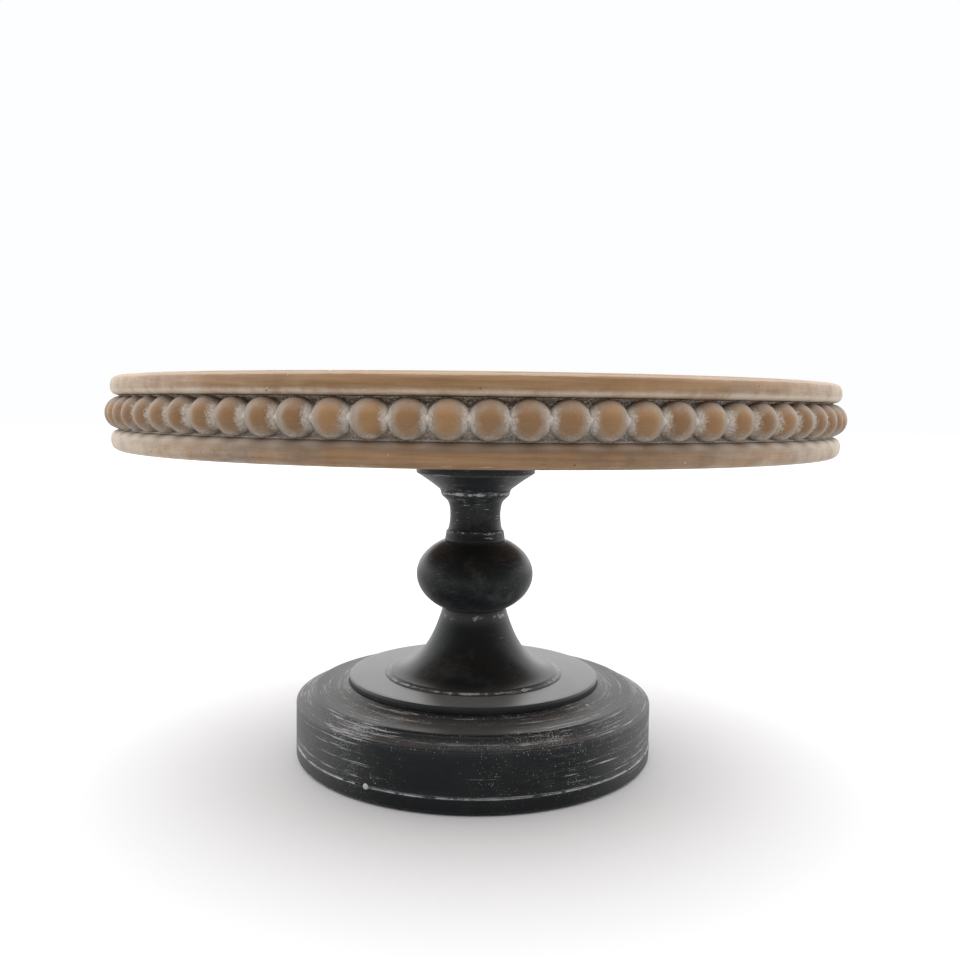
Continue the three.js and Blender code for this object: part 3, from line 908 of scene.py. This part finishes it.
# The lower board's bottom edge is painted paler: painted light from the floor.
bottom_edge_light = [[plate_radius - 0.9, 0.6, 0.8, 0.8]]
bottom = filled(eased([
    [tee_hole, 0, 0.3], [plate_radius, 0, 0.55 * bottom_thick],
    [plate_radius, bottom_thick, 0.42 * bottom_thick], [tee_hole, bottom_thick, 0.3],
], rim_steps), 4)
mesh = turned("lower_board", bottom, board_sides, bottom_level, rubbed=bottom_edge_light)
board_values(mesh, bottom_level, bottom_thick, lower_wash, lower_grime)
place(mesh, lower_wood, ["bottom_board"])

# %% [markdown]
# The core has a step at the bottom for the flange of the tee nut, and a blind hole above it for
# the end of the rod. One outline gives both, because they are round and on the axis.

# %% The core board
# More whitewash low down, and the top darker: painted shade under the upper board.
def core_wash(share, sides, angle):
    return 0.75 - 0.5 * share


core = filled(eased([
    [tee_flange_hole, 0, 0.2], [core_radius, 0, 0.4], [core_radius, core_thick, 0.4],
    [0, core_thick, 0], [0, 6.1, 0], [4.6, 6.1, 0.2], [4.6, 1.9, 0.2],
    [tee_flange_hole, 1.9, 0.2],
]), 4)
mesh = turned("core", core, 312, level_of("core_board"), wave=0.05)
board_values(mesh, level_of("core_board"), core_thick, core_wash)
place(mesh, core_wood, ["core_board"])

# %% [markdown]
# ## The beads
# Each bead is a ball with its two ends cut flat and a hole for the cord. The ring is threaded in
# six strands of thirteen. A bead could be one mesh copied with an array, but real beads differ a
# little in size and lean, so all the beads of a strand are worked out together in one array, with
# a small seeded change for each. Every point also carries its place on its own bead: how far it
# is along the hole, how high, and how far out. The whitewash is painted by that place.

# %% Bead shapes
rng = np.random.default_rng(78)
strand_count = 6
beads_per_strand = bead_count // strand_count
strand_low, strand_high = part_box("bead_strand_1")
bead_radius = (strand_high.z - strand_low.z) / mm / 2
bead_swell = 1.02  # drawn a little large, so that neighbours touch
bead_level = (strand_high.z + strand_low.z) / mm / 2
ring_radius = -strand_low.y / mm - bead_radius
bead_step = 2 * np.pi / bead_count
half_length = 5.72
bead_end = 2.5
cord_radius = 0.95


def bead_outline(rows=24):
    """Half of a bead's section as [place along the hole, distance from its middle line]: the side
    is a circle of reach c, where c is the half length over the root of 1 - (end / radius) squared,
    and the ends are flat down to the hole."""
    c = half_length / math.sqrt(1 - (bead_end / bead_radius) ** 2)
    last = np.pi / 2 * 0.985
    along = half_length * np.sin(np.linspace(-last, last, rows)) / math.sin(last)
    side = bead_radius * np.sqrt(1 - (along / c) ** 2)
    hole = cord_radius + 0.25
    return np.array([[-half_length + 0.3, hole], [-half_length, hole + 0.4], *zip(along, side),
                     [half_length, hole + 0.4], [half_length - 0.3, hole]])


def bead_array(first_angle, around=28):
    """All points of a strand: centre + along * tangent + distance * (cos * outward + sin * up).
    The tangent is turned by a small lean, and the size is scaled, by one draw for each bead."""
    outline = bead_outline()
    number = np.arange(beads_per_strand)
    size = bead_swell * (1 + rng.uniform(-0.014, 0.004, beads_per_strand))
    lean = np.radians(rng.normal(0, 1.3, (beads_per_strand, 2)))
    drift = rng.uniform(-0.10, 0.10, (beads_per_strand, 2))
    angle = first_angle + (number + 0.006 * rng.normal(0, 1, beads_per_strand)) * bead_step
    outward = np.stack([np.cos(angle), np.sin(angle), 0 * angle], -1)
    tangent = np.stack([-np.sin(angle), np.cos(angle), 0 * angle], -1)
    up = np.array([0.0, 0.0, 1.0])
    axis = tangent + lean[:, :1] * outward + lean[:, 1:] * up
    side_out = outward - lean[:, :1] * tangent
    side_up = up - lean[:, 1:] * tangent
    turn = -2 * np.pi * np.arange(around) / around
    along = outline[None, :, :1] * np.ones((1, 1, around))
    out = outline[None, :, 1:] * np.cos(turn)
    high = outline[None, :, 1:] * np.sin(turn)
    centre = (ring_radius + drift[:, :1]) * outward + (bead_level + 0.6 * drift[:, 1:]) * up
    scale = size[:, None, None]
    points = centre[:, None, None, :] + (
        (along * scale)[..., None] * axis[:, None, None, :]
        + (out * scale)[..., None] * side_out[:, None, None, :]
        + (high * scale)[..., None] * side_up[:, None, None, :]
    )
    local = np.stack([along / half_length, high / bead_radius, out / bead_radius], -1)
    local = np.broadcast_to(local, points.shape)
    return points, local, (len(outline), around)


def strand_mesh(name, first_angle):
    """The mesh of a strand, with its values. Bareness is the size of a bead's bare oval, and paint
    how far the oval has moved along the ring: both depend on how far round the stand it is."""
    points, local, (rows, around) = bead_array(first_angle)
    each = rows * around
    number = np.arange(beads_per_strand)
    quads = (cells(rows, around, True)[None] + (number * each)[:, None, None]).reshape(-1, 4)
    mesh = make_mesh(name, points.reshape(-1, 3), quads)
    angle = first_angle + number * bead_step
    bareness = 0.80 - 0.24 * np.cos(angle) ** 2 + rng.normal(0, 0.03, beads_per_strand)
    wiped = -0.42 * np.sin(2 * angle) + rng.normal(0, 0.05, beads_per_strand)
    store(mesh, bead_place=local.reshape(-1, 3),
          tone=np.repeat(rng.uniform(0, 1, beads_per_strand), each),
          paint=np.repeat(wiped, each), bareness=np.repeat(bareness, each))
    return mesh


print("bead ring", round(ring_radius, 2), "bead", round(2 * bead_radius, 2))

# %% [markdown]
# The beads were whitewashed on the ring and wiped over the crowns, so each bead has an oval of
# bare brown wood, and paint is left where it meets its neighbours and along its lower side.
# Towards the sides of the stand the ovals are smaller, and lie nearer the front or the back. The
# mask is the distance from the oval's middle in bead units, broken up with noise. Fine lines
# across the beads are left from turning them. The upper part of each bead is painted darker,
# which is painted shade under the upper board.

# %% Whitewashed beads
crown_brown = (0.225, 0.118, 0.048, 1)
crown_gold = (0.312, 0.168, 0.066, 1)
veil = (0.320, 0.256, 0.196, 1)
caked_white = (0.670, 0.615, 0.555, 1)


def whitewashed_bead(name):
    """Bare wood under a veil of whitewash, with caked paint at the joints and the underside, and
    painted shade on the upper part.
    """
    material, tree, shader = start_material(name)
    local = put(tree, "Attribute", attribute_name="bead_place").outputs["Vector"]
    along, high, _ = split(tree, local)
    tone, paint, bareness = values_of(tree, "tone", "paint", "bareness")
    lines = use(tree, lines_group, Per_Turn=40.0, Fineness=1300.0)[0]
    cloud = object_noise(tree, 330.0, 5.0, 0.65)
    wood = blend(tree, tone, crown_brown, crown_gold)
    wood = blend(tree, ramp(tree, lines, 0.46, 0.78, 0.0, 0.28), wood, deep_brown)
    across = calc(tree, "DIVIDE", plus(tree, paint, along), bareness)
    upright = calc(tree, "DIVIDE", minus(tree, high, 0.02), times(tree, bareness, 1.2))
    oval = reach_of(tree, join(tree, across, upright))
    oval = line(tree, minus(tree, cloud, 0.5), 0.7, oval)
    bare = ramp(tree, oval, 0.50, 1.08, 1.0, 0.0)
    side = ramp(tree, calc(tree, "ABSOLUTE", along), 0.50, 0.98)
    under = ramp(tree, times(tree, high, -1.0), 0.55, 1.0)
    caked = most(tree, side, times(tree, under, 0.8))
    grit = object_noise(tree, 1250.0, 3.0, 0.6)
    caked = line(tree, caked, 0.55, line(tree, cloud, 0.35, grit))
    caked = ramp(tree, caked, 0.76, 1.36, 0.0, 0.84)
    caked = times(tree, caked, ramp(tree, high, 0.30, 0.95, 1.0, 0.35))
    colour = blend(tree, bare, veil, wood)
    # Painted shade: the upper part of each bead is darkened towards brown.
    colour = blend(tree, ramp(tree, high, 0.45, 1.0, 0.0, 0.5), colour, deep_brown)
    colour = blend(tree, caked, colour, caked_white)
    pin = use(tree, specks_group, Scale=190.0, Size=0.10, Share=0.20)[0]
    colour = blend(tree, times(tree, pin, 0.85), colour, deep_brown)
    relief = line(tree, grit, 0.5, times(tree, caked, 0.7))
    relief = line(tree, lines, 0.4, relief)
    rough = ramp(tree, bare, 0.0, 1.0, 0.66, 0.48)
    surface(tree, shader, colour, rough, relief, 0.5, 0.0003)
    return material


bead_wood = whitewashed_bead("whitewash_bead")
strand_starts = [-np.pi / 2 + strand * 2 * np.pi / strand_count for strand in range(strand_count)]
for number, start in enumerate(strand_starts, 1):
    mesh = strand_mesh(f"beads_{number}", start)
    place(mesh, bead_wood, [f"bead_strand_{number}"])

# %% [markdown]
# Whitewash also ran behind the beads and dried there. It is a thin skin over the core, which
# stands forward between two beads, where the crevice is narrow, lies further back above and
# below, and turns up again in a fillet against each board. So the front of the skin is a radius
# that depends on the angle and the height. The skin is darker towards the top, which is painted
# shade under the upper board.

# %% Dried whitewash
def skin_mesh(name, columns=12 * bead_count, rows=22):
    """The front is ring radius - 1.1 + 4.6 * (between two beads) * e to the minus (height from the
    bead's middle / 2.4) squared, plus a fillet of 2.4 that fades within a millimetre of the two
    boards. The back lies just outside the core."""
    turn = np.arange(columns) * 2 * np.pi / columns
    height = np.linspace(-core_thick / 2 + 0.05, core_thick / 2 - 0.05, rows)[:, None]
    between = (0.5 - 0.5 * np.cos(bead_count * (turn + np.pi / 2))) ** 2
    uneven = (0.12 * np.sin(7 * turn) * np.cos(23 * turn + height)
              + 0.08 * np.sin(211 * turn + 2 * height))
    corner = 2.4 * np.exp(-(((core_thick / 2 - np.abs(height)) / 0.8) ** 2))
    front = ring_radius - 1.1 + 4.6 * between * np.exp(-((height / 2.4) ** 2)) + corner + uneven
    back = core_radius + 0.1 + 0 * turn + 0 * height[::-1]
    radius = np.concatenate([front, back])
    level = bead_level + np.concatenate([height, height[::-1]]) + 0 * turn
    points = np.stack([radius * np.cos(turn), radius * np.sin(turn), level], -1).reshape(-1, 3)
    mesh = make_mesh(name, points, cells(len(radius), columns, True))
    lift = ((height + core_thick / 2) / core_thick + 0 * turn).ravel()
    store(mesh, lift=np.concatenate([lift, lift[::-1]]), crevice=np.concatenate(
        [(between * np.exp(-((height / 3) ** 2))).ravel(), np.zeros(columns * rows)]))
    return mesh


dried, tree, shader = start_material("dried_whitewash")
lift, crevice = values_of(tree, "lift", "crevice")
grit = object_noise(tree, 1250.0, 3.0, 0.6)
pale_skin, shaded_top_skin = (0.42, 0.36, 0.31, 1), (0.19, 0.145, 0.112, 1)
# Darker towards the top: painted shade under the upper board.
skin_colour = blend(tree, ramp(tree, lift, 0.25, 0.85), pale_skin, shaded_top_skin)
light_grit = line(tree, crevice, 0.32, grit)
skin_colour = blend(tree, ramp(tree, light_grit, 0.50, 0.68, 0.0, 0.9), skin_colour, caked_white)
skin_colour = blend(tree, ramp(tree, grit, 0.32, 0.42, 0.6, 0.0), skin_colour, deep_brown)
rough = ramp(tree, grit, 0.3, 0.7, 0.8, 0.95)
surface(tree, shader, skin_colour, rough, grit, 0.6, 0.0004)
place(skin_mesh("dried_wash"), dried)

# %% [markdown]
# ## Cotton cord
# The cord that threads the beads shows only in the narrow gaps between them. It is two plies
# twisted together, so its section is a circle with two lobes, and the lobes turn as it runs.

# %% Cotton cord
def cord_mesh(name, start, end, steps=420, around=14):
    """The point at step i, angle j is on the ring at angle a, moved out by the cord's radius times
    0.86 + 0.14 times the cosine of twice (j - twist). Each end closes on its middle."""
    a = np.linspace(start, end, steps)[:, None]
    turn = -2 * np.pi * np.arange(around) / around
    lay = 4.2  # length of cord in which the plies turn once
    twist = a * ring_radius / lay * 2 * np.pi
    radius = cord_radius * (0.86 + 0.14 * np.cos(2 * (turn - twist)))
    out = ring_radius + radius * np.cos(turn)
    points = np.stack([out * np.cos(a), out * np.sin(a), bead_level + radius * np.sin(turn)], -1)
    ends = [[ring_radius * math.cos(e), ring_radius * math.sin(e), bead_level]
            for e in (start, end)]
    closed = fans(around, 0, (steps - 1) * around, steps * around)
    points = np.concatenate([points.reshape(-1, 3), ends])
    return make_mesh(name, points, cells(steps, around, False), closed)


cotton, tree, shader = start_material("cotton_cord")
fibre = object_noise(tree, 2600.0, 3.0)
colour = blend(tree, fibre, (0.36, 0.31, 0.25, 1), (0.62, 0.57, 0.50, 1))
surface(tree, shader, colour, ramp(tree, fibre, 0.2, 0.8, 0.85, 0.95), fibre, 0.5, 0.0001)
for number, start in enumerate(strand_starts, 1):
    end = start + (beads_per_strand - 1) * bead_step
    place(cord_mesh(f"thread_{number}", start, end), cotton)

# %% [markdown]
# ## Zinc steel hardware
# Under the base, a washer and a hexagonal nut pull on an M8 rod. Zinc plate is a soft grey metal
# with darker and lighter clouds and fine scratches, so the clouds set both colour and roughness.

# %% Zinc steel
zinc, tree, shader = start_material("zinc_plate")
clouds = object_noise(tree, 240.0, 5.0)
scratch = use(tree, lines_group, Per_Turn=6.0, Fineness=6000.0)[0]
dark_zinc, light_zinc = (0.46, 0.46, 0.45, 1), (0.66, 0.66, 0.65, 1)
colour = blend(tree, ramp(tree, clouds, 0.35, 0.65), dark_zinc, light_zinc)
rough = ramp(tree, clouds, 0.3, 0.7, 0.26, 0.44)
surface(tree, shader, colour, rough, scratch, 0.25, 0.00008, {"Metallic": 1.0})

# %% The washer
washer_radius, washer_thick = size_of("washer")
washer_outline = eased([
    [rod_bore, 0, 0.2], [washer_radius, 0, 0.2], [washer_radius, washer_thick, 0.5],
    [rod_bore, washer_thick, 0.35],
])
mesh = turned("flat_washer", washer_outline, 128, level_of("washer"), wave=0)
place(mesh, zinc, ["washer"])

# %% [markdown]
# A nut's corners are cut by a cone at each face. That is the smaller of two radii at every angle
# and height, so one grid gives the hexagon, the chamfer and the curved edge where they meet.

# %% The nut
nut_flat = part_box("hex_nut")[1].y / mm
nut_thick = size_of("hex_nut")[1]
nut_bore = 4.1


def nut_mesh(name, sides=192):
    """Outside, the radius is the smaller of two. The hexagon's is half the flats over the cosine
    of the angle from the nearest flat, and the cone's grows from each face inwards."""
    turn = np.arange(sides) * 2 * np.pi / sides
    from_flat = np.mod(turn, np.pi / 3) - np.pi / 6
    hexagon = nut_flat / np.cos(from_flat)
    chamfer = np.linspace(0, 1.2, 10)
    middle = np.linspace(1.4, nut_thick - 1.4, 6)
    height = np.concatenate([chamfer, middle, nut_thick - chamfer[::-1]])[:, None]
    from_face = np.minimum(height, nut_thick - height)
    cone = nut_flat * 0.96 + from_face * math.sqrt(3)
    outside = np.minimum(hexagon, cone)
    bore_height = np.array([nut_thick, nut_thick - 0.6, 0.6, 0.0])[:, None]
    bore = nut_bore + np.array([0.6, 0, 0, 0.6])[:, None] + 0 * turn
    radius = np.concatenate([outside, bore])
    level = np.concatenate([height, bore_height]) + level_of("hex_nut") + 0 * turn
    points = np.stack([radius * np.cos(turn), radius * np.sin(turn), level], -1)
    return make_mesh(name, points.reshape(-1, 3), cells(len(radius), sides, True))


place(nut_mesh("nut"), zinc, ["hex_nut"])

# %% [markdown]
# Only the lower end of the rod shows, so only that end gets a thread. A thread is a wave in the
# radius that climbs one pitch in each turn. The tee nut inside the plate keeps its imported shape
# and takes the same finish.

# %% The rod and the tee nut
rod_radius, rod_length = size_of("tie_rod")


def rod_mesh(name, threaded=13.0, pitch=1.25, sides=48):
    """The radius dips by a triangle wave of the height over the pitch minus the share of a turn,
    which is a screw thread, over the lower end only, and the tips are chamfered."""
    turn = np.arange(sides) * 2 * np.pi / sides
    screw = np.arange(0, threaded, pitch / 10)
    height = np.concatenate([screw, np.linspace(threaded, rod_length, 12)])[:, None]
    wave = np.abs(np.mod(height / pitch - turn / (2 * np.pi), 1) * 2 - 1)
    depth = 0.55 * wave * np.clip((threaded - height) / pitch, 0, 1)
    tip = np.clip(0.9 - np.minimum(height, rod_length - height), 0, 0.9)
    radius = rod_radius - np.maximum(depth, tip)
    low = level_of("tie_rod")
    points = np.stack([radius * np.cos(turn), radius * np.sin(turn), low + height + 0 * turn], -1)
    points = np.concatenate([points.reshape(-1, 3), [[0, 0, low], [0, 0, low + rod_length]]])
    closed = fans(sides, 0, (len(height) - 1) * sides, len(height) * sides)
    return make_mesh(name, points, cells(len(height), sides, False), closed)


place(rod_mesh("rod"), zinc, ["tie_rod"])

tee_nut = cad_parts["tee_nut"]
for part in tee_nut.material_slots:
    part.material = zinc
print("steel on", tee_nut.name)

# %% [markdown]
# ## Felt pads
# Four pads keep the base off the table. Felt is pressed fibre: no weave, a soft edge, and a dull
# surface with a faint bloom of loose fibres, which sheen gives. The edge is eased as far as the
# pad's thickness allows.

# %% Felt pads
felt, tree, shader = start_material("felt")
fluff = object_noise(tree, 1800.0, 6.0, 0.75)
colour = blend(tree, fluff, (0.010, 0.010, 0.010, 1), (0.055, 0.052, 0.050, 1))
surface(tree, shader, colour, 0.95, fluff, 0.8, 0.0003, {"Sheen Weight": 0.25})
for number in range(1, 5):
    low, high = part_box(f"felt_pad_{number}")
    radius, thick = (high.x - low.x) / mm / 2, (high.z - low.z) / mm
    middle = ((low.x + high.x) / mm / 2, (low.y + high.y) / mm / 2)
    outline = filled(eased([[0, 0, 0], [radius, 0, 0.25], [radius, thick, 0.35], [0, thick, 0]]))
    mesh = turned(f"pad_{number}", outline, 96, low.z / mm, middle, wave=0.15)
    place(mesh, felt, [f"felt_pad_{number}"])

# %% [markdown]
# ## The floor
# The stand rests on a plain white surface that runs on past the edge of view, so that its far
# edge never shows. It is a little darker to the light than to the eye, so that it throws less
# light up under the plate. It is marked as a stage, because it is no part of the object.

# %% The floor
ground = bpy.data.meshes.new("floor")
reach = 6.0
corners = [(-reach, -reach, 0), (reach, -reach, 0), (reach, reach, 0), (-reach, reach, 0)]
ground.from_pydata(corners, [], [(0, 1, 2, 3)])
floor = bpy.data.objects.new("floor", ground)
bpy.context.scene.collection.objects.link(floor)
white, tree, shader = start_material("white_floor")
seen = put(tree, "LightPath").outputs["Is Camera Ray"]
sheet = blend(tree, seen, (0.56, 0.56, 0.56, 1), (0.78, 0.78, 0.79, 1))
feed(tree, shader, {"Base Color": sheet, "Roughness": 0.8, "Specular IOR Level": 0.2})
ground.materials.append(white)
floor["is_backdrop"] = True

# %% [markdown]
# Finer surfaces must not make the stand larger than it was packed. The box of the imported model
# and the box of the finished stand are written side by side, so that they can be compared after
# every change.

visual_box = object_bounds()
for label, box in (("cad", cad_box), ("visual", visual_box)):
    print(label, [[round(v, 4) for v in corner] for corner in box])
